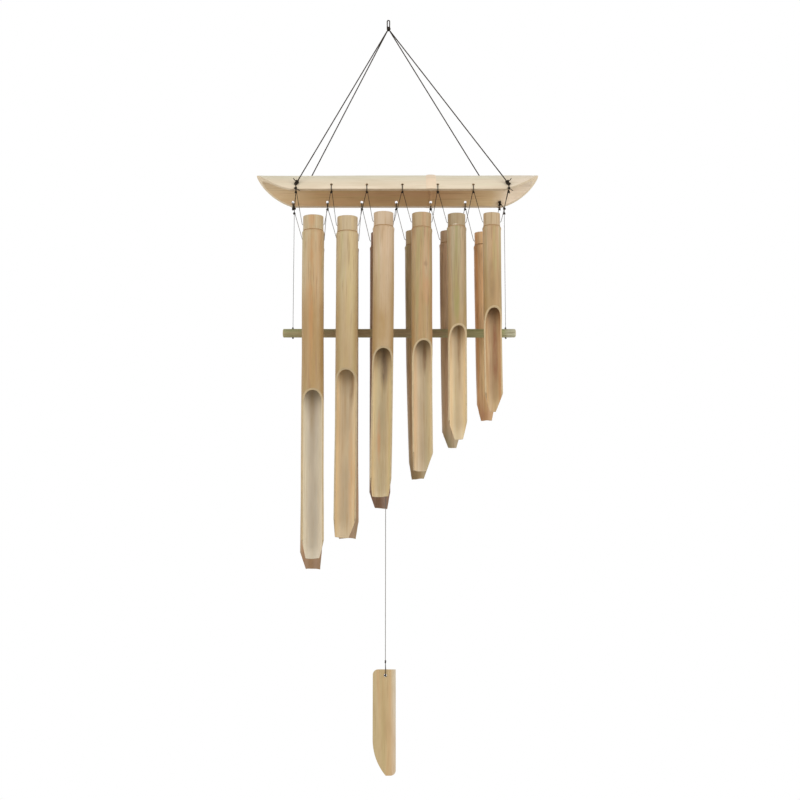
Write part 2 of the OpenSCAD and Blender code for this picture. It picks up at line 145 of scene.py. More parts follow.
# Steps of the meshes: along a tube, inside its closed part, along ties, and as a share of a cord's width
TUBE_STEP = 9
INNER_STEP = 14
TIE_STEP = 0.4
STEP_SHARE = 0.34

# Angles in degrees from which an edge is shaded sharp
SHARP_WOOD = 38
SHARP_CARRIER = 30
SHARP_CORD = 80


def hole_x(row, i):
    """Where a lacing hole is along the carrier."""
    return LACING_X - SIDE[row] * STAGGER / 2 + (i - TUBES / 2) * HOLE_PITCH


def tube_x(row, i):
    """Where a tube hangs, between its two holes."""
    return (hole_x(row, i) + hole_x(row, i + 1)) / 2 + SHIFT[row][i]


def on_hole(row, x, radius, lower=0.0):
    """A point on the axis of a lacing hole at a radius from the culm's axis, or lower in the hole."""
    way = (math.cos(HOLE_TILT), math.sin(HOLE_TILT))
    near = HOLE_MID[0] * way[0] + HOLE_MID[1] * way[1]
    run = math.sqrt(near ** 2 + radius ** 2 - HOLE_MID[0] ** 2 - HOLE_MID[1] ** 2) - near
    y = HOLE_MID[0] + run * way[0] + lower * way[1]
    z = HOLE_MID[1] + run * way[1] - lower * way[0]
    return (x, SIDE[row] * y, CULM_Z + z)


# Materials


def srgb(r, g, b):
    def linear(v):
        v /= 255
        return v / 12.92 if v <= 0.04045 else ((v + 0.055) / 1.055) ** 2.4
    return (linear(r), linear(g), linear(b), 1.0)


def darker(colour, share):
    return tuple(round(v * share) for v in colour)


class Nodes:
    """A material's node tree, with short calls for the nodes that the bamboo and the cord use."""

    def __init__(self, name):
        self.material = bpy.data.materials.new(name)
        self.material.use_nodes = True
        self.tree = self.material.node_tree
        self.shader = self.tree.nodes["Principled BSDF"]

    def node(self, kind, **inputs):
        made = self.tree.nodes.new(kind)
        for key, value in inputs.items():
            self.put(made.inputs[key.replace("_", " ")], value)
        return made

    def put(self, socket, value):
        if isinstance(value, bpy.types.NodeSocket):
            self.tree.links.new(value, socket)
        else:
            socket.default_value = value

    def place(self, scale=(1, 1, 1), shift=(0, 0, 0)):
        coords = self.node("ShaderNodeTexCoord")
        mapping = self.node("ShaderNodeMapping", Vector=coords.outputs["Object"], Scale=scale, Location=shift)
        return mapping.outputs["Vector"]

    def along(self, axis):
        """The place along an axis, in metres."""
        return self.node("ShaderNodeSeparateXYZ", Vector=self.place()).outputs[axis.upper()]

    def noise(self, where, scale, detail=2.0, rough=0.5):
        made = self.node("ShaderNodeTexNoise", Vector=where, Scale=scale, Detail=detail, Roughness=rough)
        return made.outputs["Fac"]

    def mix(self, share, a, b, blend="MIX"):
        made = self.tree.nodes.new("ShaderNodeMix")
        made.data_type = "RGBA"
        made.blend_type = blend
        self.put(made.inputs[0], share)
        self.put(made.inputs[6], a)
        self.put(made.inputs[7], b)
        return made.outputs[2]

    def level(self, value, low, high, to_low, to_high):
        made = self.node("ShaderNodeMapRange")
        made.clamp = True
        for k, v in enumerate((value, low, high, to_low, to_high)):
            self.put(made.inputs[k], v)
        return made.outputs[0]

    def share(self, value, start, full, amount=1.0):
        """A share that is nothing at start and grows to an amount at full."""
        return self.level(value, start, full, 0.0, amount)

    def times(self, a, b):
        made = self.node("ShaderNodeMath")
        made.operation = "MULTIPLY"
        self.put(made.inputs[0], a)
        self.put(made.inputs[1], b)
        return made.outputs[0]

    def length(self, vector):
        made = self.node("ShaderNodeVectorMath")
        made.operation = "LENGTH"
        self.put(made.inputs[0], vector)
        return made.outputs["Value"]

    def bump(self, height, strength, distance):
        made = self.node("ShaderNodeBump", Height=height, Strength=strength, Distance=distance)
        self.put(self.shader.inputs["Normal"], made.outputs["Normal"])

    def finish(self, colour, roughness):
        self.put(self.shader.inputs["Base Color"], colour)
        self.put(self.shader.inputs["Roughness"], roughness)
        return self.material


def grain_scale(axis, stretch):
    return tuple(stretch if k == axis else 1.0 for k in "xyz")


def bamboo(
    name, colours, seed, axis="z", streak=170.0, contrast=1.0, fibre=0.5, rough=(0.4, 0.58),
    fades=(), marks=()
):
    """Split or whole bamboo: broad and narrow streaks between the given colours, thin dark lines and fine
    fibres along axis. A fade (axis, from, to, colour, amount) brings a colour in along the way from-to. A
    mark (x, z, half width, half height, colour, amount) is a soft patch. Both are in millimetres."""
    base, warm, green, dark = (srgb(*c) for c in colours)
    n = Nodes(name)
    shift = (seed * 0.37, seed * 0.61, seed * 0.23)
    long_way = n.place(grain_scale(axis, 0.035), shift)
    band_way = n.place(grain_scale(axis, 0.05), shift)
    blotch_way = n.place(grain_scale(axis, 0.3), shift)
    bands = n.noise(band_way, 0.5 * streak)
    streaks = n.noise(long_way, streak, detail=3.0, rough=0.55)
    lines = n.noise(long_way, 4.2 * streak)
    blotches = n.noise(blotch_way, 42.0)
    fibres = n.noise(long_way, 1500.0, detail=3.0, rough=0.7)
    # Pattern, where it starts and is full, how much of it there is, and its colour
    layers = (
        (bands, 0.5, 0.64, 0.8, warm), (bands, 0.48, 0.34, 0.8, green),
        (streaks, 0.54, 0.7, 0.6, warm), (streaks, 0.45, 0.3, 0.6, green),
        (blotches, 0.52, 0.78, 0.6, dark),
    )
    colour = base
    for pattern, start, full, amount, tone in layers:
        colour = n.mix(n.share(pattern, start, full, amount * contrast), colour, tone)
    for along, start, stop, tone, amount in fades:
        share = n.share(n.along(along), start * MM, stop * MM)
        patchy = n.level(n.noise(blotch_way, 60.0, detail=3.0), 0.3, 0.6, 0.55 * amount, amount)
        colour = n.mix(n.times(share, patchy), colour, srgb(*tone))
    for x, z, wide, high, tone, amount in marks:
        place = n.place((1 / (wide * MM), 0, 1 / (high * MM)), (-x / wide, 0, -z / high))
        share = n.level(n.length(place), 0.45, 1.15, amount, 0.0)
        patchy = n.level(n.noise(blotch_way, 150.0, detail=3.0), 0.32, 0.55, 0.4, 1.0)
        colour = n.mix(n.times(share, patchy), colour, srgb(*tone))
    colour = n.mix(n.share(lines, 0.55, 0.7, 0.55 * contrast), colour, dark)
    colour = n.mix(n.share(fibres, 0.35, 0.75, fibre), colour, n.mix(0.35, colour, dark))
    n.bump(fibres, strength=0.22, distance=0.4 * MM)
    return n.finish(colour, n.level(fibres, 0.3, 0.7, *rough))


def cut_wood(name, base, dark, seed, axis="z"):
    """A sawn or scraped edge: pale wood with the fine dots and lines of its fibre bundles."""
    n = Nodes(name)
    lines = n.noise(n.place(grain_scale(axis, 0.12), (seed, seed, seed)), 1300.0, rough=0.6)
    patches = n.noise(n.place(shift=(seed, 0, 0)), 90.0)
    colour = n.mix(n.share(lines, 0.42, 0.68, 0.6), srgb(*base), srgb(*dark))
    colour = n.mix(n.share(patches, 0.45, 0.75, 0.4), colour, srgb(*dark))
    n.bump(lines, strength=0.35, distance=0.4 * MM)
    return n.finish(colour, n.level(lines, 0.3, 0.7, 0.55, 0.75))


def waxed_cord(name, base, pale, worn=None):
    """Dark waxed cord, a little paler on the backs of its plies. Worn is (from, to, colour): the wax is
    rubbed off to that colour below a height."""
    n = Nodes(name)
    plies = n.noise(n.place(), 2600.0, rough=0.6)
    colour = n.mix(n.share(plies, 0.4, 0.75, 0.6), srgb(*base), srgb(*pale))
    if worn:
        start, stop, tone = worn
        share = n.share(n.along("z"), start * MM, stop * MM)
        colour = n.mix(share, colour, n.mix(plies, srgb(*darker(tone, 0.9)), srgb(*tone)))
    n.bump(plies, strength=0.3, distance=0.2 * MM)
    n.shader.inputs["Specular IOR Level"].default_value = 0.25
    return n.finish(colour, n.level(plies, 0.3, 0.7, 0.6, 0.8))


# Mesh building


class Shell:
    """Points, faces and the kind of surface of each face, gathered into one closed mesh."""

    WELD = 0.002 * MM

    def __init__(self):
        self.points = []
        self.faces = []
        self.kinds = []

    def point(self, x, y, z):
        self.points.append((x * MM, y * MM, z * MM))
        return len(self.points) - 1

    def face(self, ids, kind):
        kept = [v for k, v in enumerate(ids) if v != ids[k - 1]]
        if len(set(kept)) > 2:
            self.faces.append(kept)
            self.kinds.append(kind)

    def strip(self, a, b, kind):
        for j in range(len(a) - 1):
            self.face((a[j], a[j + 1], b[j + 1], b[j]), kind)

    def sheet(self, rows, kind):
        for a, b in zip(rows, rows[1:]):
            self.strip(a, b, kind)

    def fan(self, row, centre, kind):
        for j in range(len(row) - 1):
            self.face((row[j], row[j + 1], centre), kind)

    def plain(self, name, materials=()):
        """The shell as an object, with points that meet joined and all faces turned outward."""
        mesh = bpy.data.meshes.new(name)
        mesh.from_pydata(self.points, [], self.faces)
        for material in materials:
            mesh.materials.append(material)
        mesh.polygons.foreach_set("material_index", self.kinds)
        made = bpy.data.objects.new(name, mesh)
        bpy.context.scene.collection.objects.link(made)
        work = bmesh.new()
        work.from_mesh(mesh)
        bmesh.ops.remove_doubles(work, verts=work.verts, dist=self.WELD)
        bmesh.ops.recalc_face_normals(work, faces=work.faces)
        work.to_mesh(mesh)
        work.free()
        return made

    def build(self, name, materials, body, slot, replaces=(), sharp=SHARP_WOOD):
        """The shell as a piece that rides on a body, in place of the nodes that it replaces."""
        made = self.plain(name, materials)
        made.data.shade_smooth()
        made.data.set_sharp_from_angle(angle=math.radians(sharp))
        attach(made, body)
        if replaces:
            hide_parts(*replaces)
        return made


def wobble(a, b, c, amount):
    """A smooth, repeatable unevenness at a place."""
    return amount * noise.noise(Vector((a, b, c)))


def drill(piece, cutters, material):
    """Cuts the cutters out of a piece, and gives the walls of the holes a material."""
    modifier = piece.modifiers.new("drill", "BOOLEAN")
    modifier.operation = "DIFFERENCE"
    modifier.solver = "EXACT"
    modifier.object = cutters
    cutters.data.materials.append(material)
    depsgraph = bpy.context.evaluated_depsgraph_get()
    cut = bpy.data.meshes.new_from_object(piece.evaluated_get(depsgraph))
    piece.modifiers.remove(modifier)
    old = piece.data
    piece.data = cut
    cut.name = piece.name
    bpy.data.meshes.remove(old)
    bpy.data.objects.remove(cutters)
    piece.data.set_sharp_from_angle(angle=math.radians(SHARP_WOOD))


def round_cutters(name, lines, d):
    """Plain round cutters along lines, for drilling."""
    sides = 20
    shell = Shell()
    for a, b in lines:
        a, b = Vector(a), Vector(b)
        u, v = across((b - a).normalized())
        ends = []
        for p in (a, b):
            ring = []
            for k in range(sides):
                t = 2 * math.pi * k / sides
                q = p + (u * math.cos(t) + v * math.sin(t)) * d / 2
                ring.append(shell.point(*q))
            ends.append(ring + ring[:1])
        shell.strip(ends[0], ends[1], SKIN)
        for ring, p in zip(ends, (a, b)):
            shell.fan(ring, shell.point(*p), SKIN)
    return shell.plain(name)


def across(direction):
    """Two directions at right angles to one and to each other."""
    helper = Vector(UP) if abs(direction.z) < 0.9 else Vector((1, 0, 0))
    u = direction.cross(helper).normalized()
    return u, direction.cross(u).normalized()


# Kinds of surface, in the order of a piece's materials. The carrier has its own names for the last two.
SKIN, WALL, CUT, LINE, NECK = range(5)
END_CUT, RING = LINE, NECK


# Tubes


def tube_piece(row, i, materials):
    """A tube with a necked top, a long scoop and trimmed lower corners. Heights count from its top."""
    r = TUBE_D[i] / 2
    length = TUBE_LEN[row][i]
    mouth = SCOOP_AT[i]
    line = -NECK_LEN[i]
    neck = r - NECK_STEP
    run = math.sqrt(2 * SCOOP_R * r - r * r)
    flip = 1 if row == "front" else -1
    trims = (TRIM_LEFT[row][i], TRIM_RIGHT[row][i])[::flip]
    at = (tube_x(row, i), SIDE[row] * ROW_Y, RIM_Z - DROP[row][i])
    seed = 10 * i + (0 if row == "front" else 5)
    turn = math.radians(TURN[row][i])
    inner = r - TUBE_WALL
    count = 64
    tip_rows, mouth_rows, trim_rows = 6, 16, 8
    shell = Shell()

    def cut_y(z):
        if z > -mouth - run:
            return -SCOOP_R + math.sqrt(SCOOP_R ** 2 - (z + mouth + run) ** 2)
        return wobble(seed, z / EDGE_WAVE, 0, EDGE_DEPTH) * min(1, (-mouth - run - z) / EDGE_EASE)

    def limits(z, radius):
        share = -1 if z >= -mouth else cut_y(z) / radius
        open_at = math.pi if share <= -1 else math.acos(share)
        both = []
        for depth, side_turn in zip(trims, (turn, -turn)):
            edge = open_at + side_turn
            reach = r - depth * (1 - (z + length) / TRIM_H)
            if reach < radius and z + length < TRIM_H:
                edge = min(edge, math.asin(reach / radius))
            both.append(edge)
        return both

    def place(angle, radius, z):
        bulge = 1 + wobble(1.3 * math.sin(angle) + seed, 1.3 * math.cos(angle), z / BULGE_WAVE, BULGE_SHARE)
        bow = BEND[row][i] * (z / length) ** 2
        bow += wobble(seed + 0.5, z / BOW_WAVE, 3, BOW_DEPTH) * min(1, -z / BOW_EASE)
        x = radius * bulge * math.sin(angle)
        y = radius * bulge * math.cos(angle)
        return shell.point(at[0] + flip * x + bow, at[1] + flip * y, at[2] + z)

    def ring(z, radius, tilt=0.0, slant=0.0):
        left, right = limits(z, radius)
        closed = left + right >= 2 * math.pi - 1e-6
        ids = []
        for j in range(count if closed else count + 1):
            angle = -left + (left + right) * j / count
            dip = slant * (1 - flip * math.cos(angle)) / 2
            ragged = tilt * wobble(math.sin(angle), math.cos(angle), seed, 1)
            ids.append(place(angle, radius, z - dip + ragged))
        return ids + ids[:1] if closed else ids

    # The outside, from the top of the neck to the mouth of the scoop
    low = line - 2 * (NECK_STEP + GROOVE + SWELL)
    first = low - TUBE_SEPTUM
    profile = [
        (0, neck - 0.5, CUT), (-0.5, neck, NECK), (line * 0.35, neck, NECK), (line * 0.7, neck - 0.1, NECK),
        (line + 1.6, neck, NECK), (line + 0.7, neck + 0.15, NECK), (line + 0.3, neck - GROOVE, LINE),
        (line - 0.5, neck - GROOVE, LINE), (line - 0.9, r - 0.1, SKIN), (line - 1.9, r + SWELL, SKIN),
        (low, r + SWELL, SKIN), (low - 2.5, r + 0.1, SKIN), (first, r, SKIN),
    ]
    steps = max(4, round((mouth + low - TUBE_SEPTUM) / TUBE_STEP))
    profile += [(first + (-mouth - first) * k / steps, r, SKIN) for k in range(1, steps + 1)]
    outside = [ring(z, radius, LINE_TILT if kind == LINE else 0.0) for z, radius, kind in profile[2:]]
    outside = [ring(z, radius, slant=TOP_SLANT) for z, radius, _ in profile[:2]] + outside
    for k in range(1, len(profile)):
        shell.strip(outside[k - 1], outside[k], profile[k][2])

    # Rows that the outside and the inside share, from the mouth to the lower end
    apex = math.acos(-inner / r)
    turns = [math.pi - (math.pi - apex) * k / tip_rows for k in range(1, tip_rows + 1)]
    turns += [apex - (apex - math.pi / 2) * k / mouth_rows for k in range(1, mouth_rows + 1)]
    shared = []
    for t in turns:
        rise = SCOOP_R ** 2 - (SCOOP_R + r * math.cos(t)) ** 2
        shared.append(-mouth - run + math.sqrt(max(0.0, rise)))
    start, stop = shared[-1], -length + TRIM_H
    steps = max(2, round((start - stop) / TUBE_STEP))
    shared += [start + (stop - start) * k / steps for k in range(1, steps + 1)]
    shared += [stop - TRIM_H * k / trim_rows for k in range(1, trim_rows + 1)]
    outer = [outside[-1]] + [ring(z, r, END_TILT if z == shared[-1] else 0) for z in shared]
    ceiling = line - TUBE_SEPTUM
    steps = max(3, round((mouth + ceiling) / INNER_STEP))
    above = [ceiling + (-mouth - ceiling) * k / steps for k in range(steps + 1)]
    top_in = [ring(z, inner) for z in above]
    within = [top_in[-1]] + [ring(z, inner, END_TILT if z == shared[-1] else 0) for z in shared]
    shell.sheet(outer, SKIN)
    shell.sheet(top_in, WALL)
    shell.sheet(within, WALL)
    roof = shell.point(at[0], at[1], at[2] + ceiling + 1.5)
    shell.fan(top_in[0], roof, WALL)

    # The cut faces of the scoop and of the lower end
    def edges(k, z):
        ids = within[k]
        if k == 0:
            return outer[0][0], outer[0][0]
        if ids[0] == ids[-1]:
            if k == tip_rows:
                return ids[0], ids[0]
            depth = flip * cut_y(z)
            centre = shell.point(at[0] - depth * math.sin(turn), at[1] + depth * math.cos(turn), at[2] + z)
            return centre, centre
        return ids[0], ids[-1]
    pairs = [edges(k, z) for k, z in enumerate([-mouth] + shared)]
    for k in range(1, len(pairs)):
        shell.face((outer[k - 1][0], outer[k][0], pairs[k][0], pairs[k - 1][0]), CUT)
        shell.face((outer[k - 1][-1], outer[k][-1], pairs[k][1], pairs[k - 1][1]), CUT)
    shell.strip(outer[-1], within[-1], CUT)

    # The cup of the neck
    cup_r = neck - TUBE_WALL
    cup = [ring(0, cup_r + 0.3, slant=TOP_SLANT), ring(-1, cup_r, slant=TOP_SLANT), ring(line + 1.5, cup_r)]
    shell.strip(outside[0], cup[0], CUT)
    shell.sheet(cup, WALL)
    shell.fan(cup[-1], shell.point(at[0], at[1], at[2] + line), WALL)

    node = f"{row}_tube_{i + 1}"
    piece = shell.build(f"{node}_bamboo", materials, node, "tube_bamboo", [node])
    bore_z = at[2] - BORE_DEPTH
    bore = [((at[0] - r - OVER, at[1], bore_z), (at[0] + r + OVER, at[1], bore_z))]
    drill(piece, round_cutters("bore", bore, LACE_D + BORE_PLAY), materials[CUT])


# Base, warm, green and dark colours of each tube's skin, longest tube first
TUBE_COLOURS = {
    "front": (
        ((193, 173, 135), (192, 157, 112), (181, 168, 120), (158, 122, 82)),
        ((195, 174, 138), (203, 177, 130), (188, 172, 124), (168, 140, 102)),
        ((204, 180, 150), (202, 173, 138), (194, 172, 131), (172, 140, 102)),
        ((182, 158, 119), (196, 150, 110), (165, 151, 99), (148, 115, 76)),
        ((178, 160, 125), (182, 157, 122), (158, 149, 100), (146, 120, 87)),
        ((194, 170, 134), (190, 153, 112), (176, 161, 112), (154, 123, 86)),
    ),
    "back": (
        ((186, 148, 108), (184, 136, 94), (164, 138, 94), (140, 104, 70)),
        ((182, 150, 110), (180, 136, 96), (164, 140, 96), (140, 104, 70)),
        ((150, 116, 88), (150, 106, 78), (140, 112, 80), (108, 80, 58)),
        ((197, 173, 130), (199, 163, 118), (176, 160, 108), (146, 114, 76)),
        ((201, 172, 136), (193, 154, 120), (187, 162, 121), (143, 114, 88)),
        ((231, 194, 146), (232, 178, 122), (208, 178, 121), (170, 124, 82)),
    ),
}
# The same for the inner walls
WALL_COLOURS = (
    ((232, 217, 192), (214, 194, 164), (214, 204, 176), (188, 170, 140)),
    ((234, 214, 176), (220, 186, 138), (216, 202, 160), (186, 152, 108)),
    ((226, 205, 162), (212, 179, 132), (204, 189, 138), (180, 150, 106)),
    ((229, 208, 171), (221, 186, 143), (209, 194, 149), (182, 152, 112)),
    ((240, 217, 177), (228, 197, 153), (220, 205, 159), (194, 164, 120)),
    ((212, 180, 134), (192, 138, 94), (196, 168, 116), (160, 112, 72)),
)
# The tubes' lower ends as seen on the back row, in each tube's tone with painted shade from the front row,
# and the edges of their scoops
FOOT_COLOURS = (
    (134, 103, 72), (150, 124, 92), (118, 86, 60), (140, 120, 80), (144, 136, 104), (168, 116, 82),
)
SCOOP_EDGES = (
    (195, 172, 132), (189, 167, 129), (191, 168, 130), (198, 175, 136), (200, 177, 138), (200, 175, 134),
)
# Tan above a scoop: how far below the top it starts and is full, and how much of it there is
NEAR_SCOOP = (168, 135, 84)
SCOOP_FADES = (
    (98, 146, 1.0), (84, 150, 0.6), (55, 150, 0.9), (80, 125, 0.7), (30, 140, 0.7), (30, 115, 0.95),
)
# Shade deep inside a scoop, and how much of it there is
DEEP = (126, 84, 44)
DEEP_SHARE = (0.1, 0.05, 0.45, 0.35, 0.35, 0.5)
# Where other fades start and are full: painted shade into a trough, above a foot and below a scoop's mouth
TROUGH_SHADE = (5, 12)
FOOT_SHADE = (40, 8)
MOUTH_SHADE = (50, 4)
# Marks on the front tubes, by tube
SKIN_MARKS = {
    0: [(-104, -410, 4, 120, (186, 136, 84), 0.75)],
    1: [(-49, -400, 8, 90, (198, 176, 122), 0.6)],
    3: [
        (51.5, -373, 3, 4, (132, 98, 58), 0.7), (53, -410, 5, 22, (192, 144, 98), 0.8),
        (40, -400, 2.5, 90, (164, 148, 92), 0.8),
    ],
    4: [(93, -421, 5, 30, (150, 142, 82), 0.8)],
    5: [(142, -398, 5, 36, (150, 122, 84), 0.75), (146, -350, 4, 50, (172, 158, 102), 0.6)],
}
NECK_MARKS = {
    0: [(-104, -311, 5, 10, (196, 150, 104), 0.5)],
    4: [(92.5, -317.6, 5, 1.6, (252, 240, 214), 1.0)],
}
# The dark marks at the top of each scoop are painted shade under its arch
WALL_MARKS_AND_SHADE = {
    0: [(-103, -566, 4, 40, (168, 140, 100), 0.55)],
    1: [(-49, -538, 4, 34, (140, 110, 76), 0.75), (-50, -660, 4, 90, (212, 164, 108), 0.5)],
    2: [(-5, -512, 5, 34, (84, 56, 36), 0.7), (-12, -610, 2.5, 40, (206, 146, 96), 0.6)],
    3: [(50, -497, 3, 26, (122, 82, 42), 0.7), (38, -560, 2.5, 80, (220, 184, 146), 0.5)],
    4: [(97, -478, 2.5, 60, (150, 114, 70), 0.7)],
    5: [(146, -492, 4, 46, (150, 92, 56), 0.85)],
}
BACK_SEED = 7.3

pale_cut = cut_wood("bamboo_cut_edge", (208, 186, 148), (182, 152, 110), 0.3)
rim_cut = cut_wood("carrier_rim", (220, 197, 164), (190, 162, 124), 0.7, axis="x")
end_cut = cut_wood("carrier_end_cut", (230, 210, 178), (210, 186, 150), 0.5, axis="x")
node_line = cut_wood("node_line", (186, 152, 110), (156, 120, 82), 0.9)


def tube_materials(row, i):
    """Skin, inner wall, scooped edge, node line and neck of a tube."""
    front = row == "front"
    colours = TUBE_COLOURS[row][i]
    seed = i + (0.0 if front else BACK_SEED)
    top = RIM_Z - DROP[row][i]
    mouth = top - SCOOP_AT[i]
    foot = top - TUBE_LEN[row][i]
    inward = -SIDE[row]
    trough = [SIDE[row] * ROW_Y + inward * depth for depth in TROUGH_SHADE]
    near, far, amount = SCOOP_FADES[i]
    skin_fade = ("z", top - near, top - far, NEAR_SCOOP, amount)
    # Painted shade of the front row on the back tubes' lower ends, in each tube's own tone
    foot_tone_and_shade = ("z", *(foot + up for up in FOOT_SHADE), FOOT_COLOURS[i], 0.85)
    # Painted shade on the inner wall: a darker copy of its colour deep in the trough, and DEEP below the
    # scoop's mouth
    wall_fades = [
        ("y", *trough, darker(WALL_COLOURS[i][0], 0.78), 0.7),
        ("z", *(mouth - down for down in MOUTH_SHADE), DEEP, DEEP_SHARE[i]),
    ]
    skin_marks, wall_marks_and_shade, neck_marks = (
        table.get(i, ()) if front else () for table in (SKIN_MARKS, WALL_MARKS_AND_SHADE, NECK_MARKS)
    )
    skin = bamboo(
        f"{row}_skin_{i + 1}", colours, seed + 1, contrast=1.3,
        fades=[skin_fade if front else foot_tone_and_shade], marks=skin_marks
    )
    wall = bamboo(
        f"{row}_wall_{i + 1}", WALL_COLOURS[i], seed + 3, streak=130.0, fades=wall_fades, marks=wall_marks_and_shade
    )
    neck_colours = (colours[0], colours[1], colours[0], colours[3])
    neck = bamboo(f"{row}_neck_{i + 1}", neck_colours, seed + 5, streak=120.0, marks=neck_marks)
    edge = cut_wood(f"{row}_scoop_edge_{i + 1}", SCOOP_EDGES[i], darker(SCOOP_EDGES[i], 0.84), 0.3 + seed)
    return [skin, wall, edge, node_line, neck]


for row in ROWS:
    for i in range(TUBES):
        tube_piece(row, i, tube_materials(row, i))


# Carrier


def carrier_piece(materials):
    """Half of a culm, with curved end cuts, a node ring and the lacing holes in its rims."""
    count = 56
    tip_rows = 16
    step = 6.0
    reach = math.hypot(END_CUT_LEN, CARRIER_RISE)
    drop = math.sqrt(END_CUT_R ** 2 - reach ** 2 / 4)
    centre = (END_CUT_LEN / 2 + CARRIER_RISE / reach * drop, CARRIER_RISE / 2 + END_CUT_LEN / reach * drop)
    shell = Shell()

    def cut_height(x):
        """Height of an end cut above the rim, at a place along the carrier."""
        inset = min(x - LEFT_END, RIGHT_END - x)
        if inset >= END_CUT_LEN:
            return 0.0
        return max(0.0, centre[1] - math.sqrt(max(0.0, END_CUT_R ** 2 - (inset - centre[0]) ** 2)))

    def inset_at(height):
        return centre[0] - math.sqrt(max(0.0, END_CUT_R ** 2 - (height - centre[1]) ** 2))

    def swell(x):
        t = abs(x - RING_AT) / (RING_W / 2)
        return RING_H * max(0.0, 1 - t ** 4) if t < 1 else 0.0

    def ridge(x):
        t = abs(x - RING_AT) / (SEPTUM_W / 2)
        return SEPTUM_H * max(0.0, 1 - t ** 2) if t < 1 else 0.0

    def row(x, radius, ragged):
        share = (CULM_DROP + cut_height(x)) / radius
        if share >= 1:
            return None
        wide = math.acos(share)
        ids = []
        for j in range(count + 1):
            t = -wide + 2 * wide * j / count
            edge = 1 - abs(2 * j / count - 1) ** 6
            bulge = 1 + edge * wobble(1.5 * math.sin(t), 1.5 * math.cos(t) + ragged, x / 90, 0.012)
            ids.append(shell.point(x, radius * bulge * math.sin(t), CULM_Z + radius * bulge * math.cos(t)))
        return ids

    to_rim = math.acos(CULM_DROP / CARRIER_R)
    tip = [CARRIER_R * math.cos(k / tip_rows * to_rim) - CULM_DROP for k in range(1, tip_rows + 1)]
    tip_in = CULM_IN - CULM_DROP
    heights = sorted(set(tip + [tip_in - 0.02]), reverse=True)
    insets = [inset_at(max(0.0, h)) for h in heights]
    middle = np.arange(LEFT_END + END_CUT_LEN + step, RIGHT_END - END_CUT_LEN - step / 2, step)
    fine = [RING_AT + RING_W / 2 * s for s in (-1.15, -1, -0.92, -0.75, -0.4, 0, 0.4, 0.75, 0.92, 1, 1.15)]
    middle = [x for x in middle if abs(x - RING_AT) > RING_W * 0.62] + fine
    stations = sorted([LEFT_END + t for t in insets] + list(middle) + [RIGHT_END - t for t in insets])
    outer = [row(x, CARRIER_R + swell(x), 0) for x in stations]
    within = [row(x, CULM_IN - ridge(x), 9) for x in stations]
    for k in range(1, len(stations)):
        on_ring = abs(stations[k - 1] + stations[k] - 2 * RING_AT) < RING_W
        shell.strip(outer[k - 1], outer[k], RING if on_ring else SKIN)
    tips = [shell.point(x, 0, RIM_Z + CARRIER_RISE) for x in (LEFT_END, RIGHT_END)]
    shell.fan(outer[0], tips[0], SKIN)
    shell.fan(outer[-1], tips[1], SKIN)
    edges = []
    for x, ids in zip(stations, within):
        if ids is None:
            centre_id = shell.point(x, 0, RIM_Z + cut_height(x))
            edges.append((centre_id, centre_id))
        else:
            edges.append((ids[0], ids[-1]))
    for k in range(1, len(stations)):
        if within[k - 1] is not None and within[k] is not None:
            shell.strip(within[k - 1], within[k], WALL)
        elif within[k] is not None or within[k - 1] is not None:
            ids = within[k] if within[k] is not None else within[k - 1]
            lone = edges[k - 1][0] if within[k] is not None else edges[k][0]
            shell.fan(ids, lone, WALL)
        kind = END_CUT if max(cut_height(stations[k - 1]), cut_height(stations[k])) > 0.3 else CUT
        shell.face((outer[k - 1][0], outer[k][0], edges[k][0], edges[k - 1][0]), kind)
        shell.face((outer[k - 1][-1], outer[k][-1], edges[k][1], edges[k - 1][1]), kind)
    for end, tip_id in ((0, tips[0]), (-1, tips[1])):
        shell.face((outer[end][0], edges[end][0], tip_id), END_CUT)
        shell.face((outer[end][-1], edges[end][0], tip_id), END_CUT)
    piece = shell.build(
        "carrier_bamboo_half", materials, "chime_frame", "carrier_bamboo", ["carrier"], SHARP_CARRIER
    )
    lines = []
    past_in, past_out = 5, 4
    for r in ROWS:
        for i in range(TUBES + 1):
            x = hole_x(r, i)
            lines.append((on_hole(r, x, CULM_IN - past_in), on_hole(r, x, CARRIER_R + past_out)))
    drill(piece, round_cutters("holes", lines, HOLE_D), materials[CUT])


carrier_skin = bamboo(
    "carrier_skin", ((236, 221, 194), (241, 223, 197), (228, 222, 192), (214, 194, 162)), 3.1,
    axis="x", streak=120.0, contrast=0.9, fibre=0.3,
    fades=[("z", RIM_Z + 12, RIM_Z + 26, (230, 228, 198), 0.7), ("x", 140, 190, (238, 220, 198), 0.8)]
)
ring_skin = bamboo(
    "carrier_ring_skin", ((245, 222, 192), (248, 220, 190), (236, 222, 192), (222, 192, 160)), 2.4,
    axis="x", streak=120.0, contrast=0.7, fibre=0.3
)
# Inner wall: darker right of the middle, then paler towards both ends; the pale ends are painted light, where
# the side lamps reach in past the end cuts and lift the shade in the tips
carrier_wall = bamboo(
    "carrier_wall", ((200, 166, 118), (204, 162, 120), (190, 166, 112), (168, 130, 88)), 4.6,
    axis="x", streak=110.0, contrast=0.9, rough=(0.5, 0.7),
    fades=[
        ("x", -40, 40, (182, 142, 98), 0.6), ("x", 60, 150, (228, 205, 160), 0.75),
        ("x", 146, 172, (252, 234, 210), 1.0), ("x", -100, -150, (228, 202, 162), 0.85),
        ("x", -148, -176, (226, 202, 164), 0.9),
    ]
)
carrier_piece([carrier_skin, carrier_wall, rim_cut, end_cut, ring_skin])


# Rod


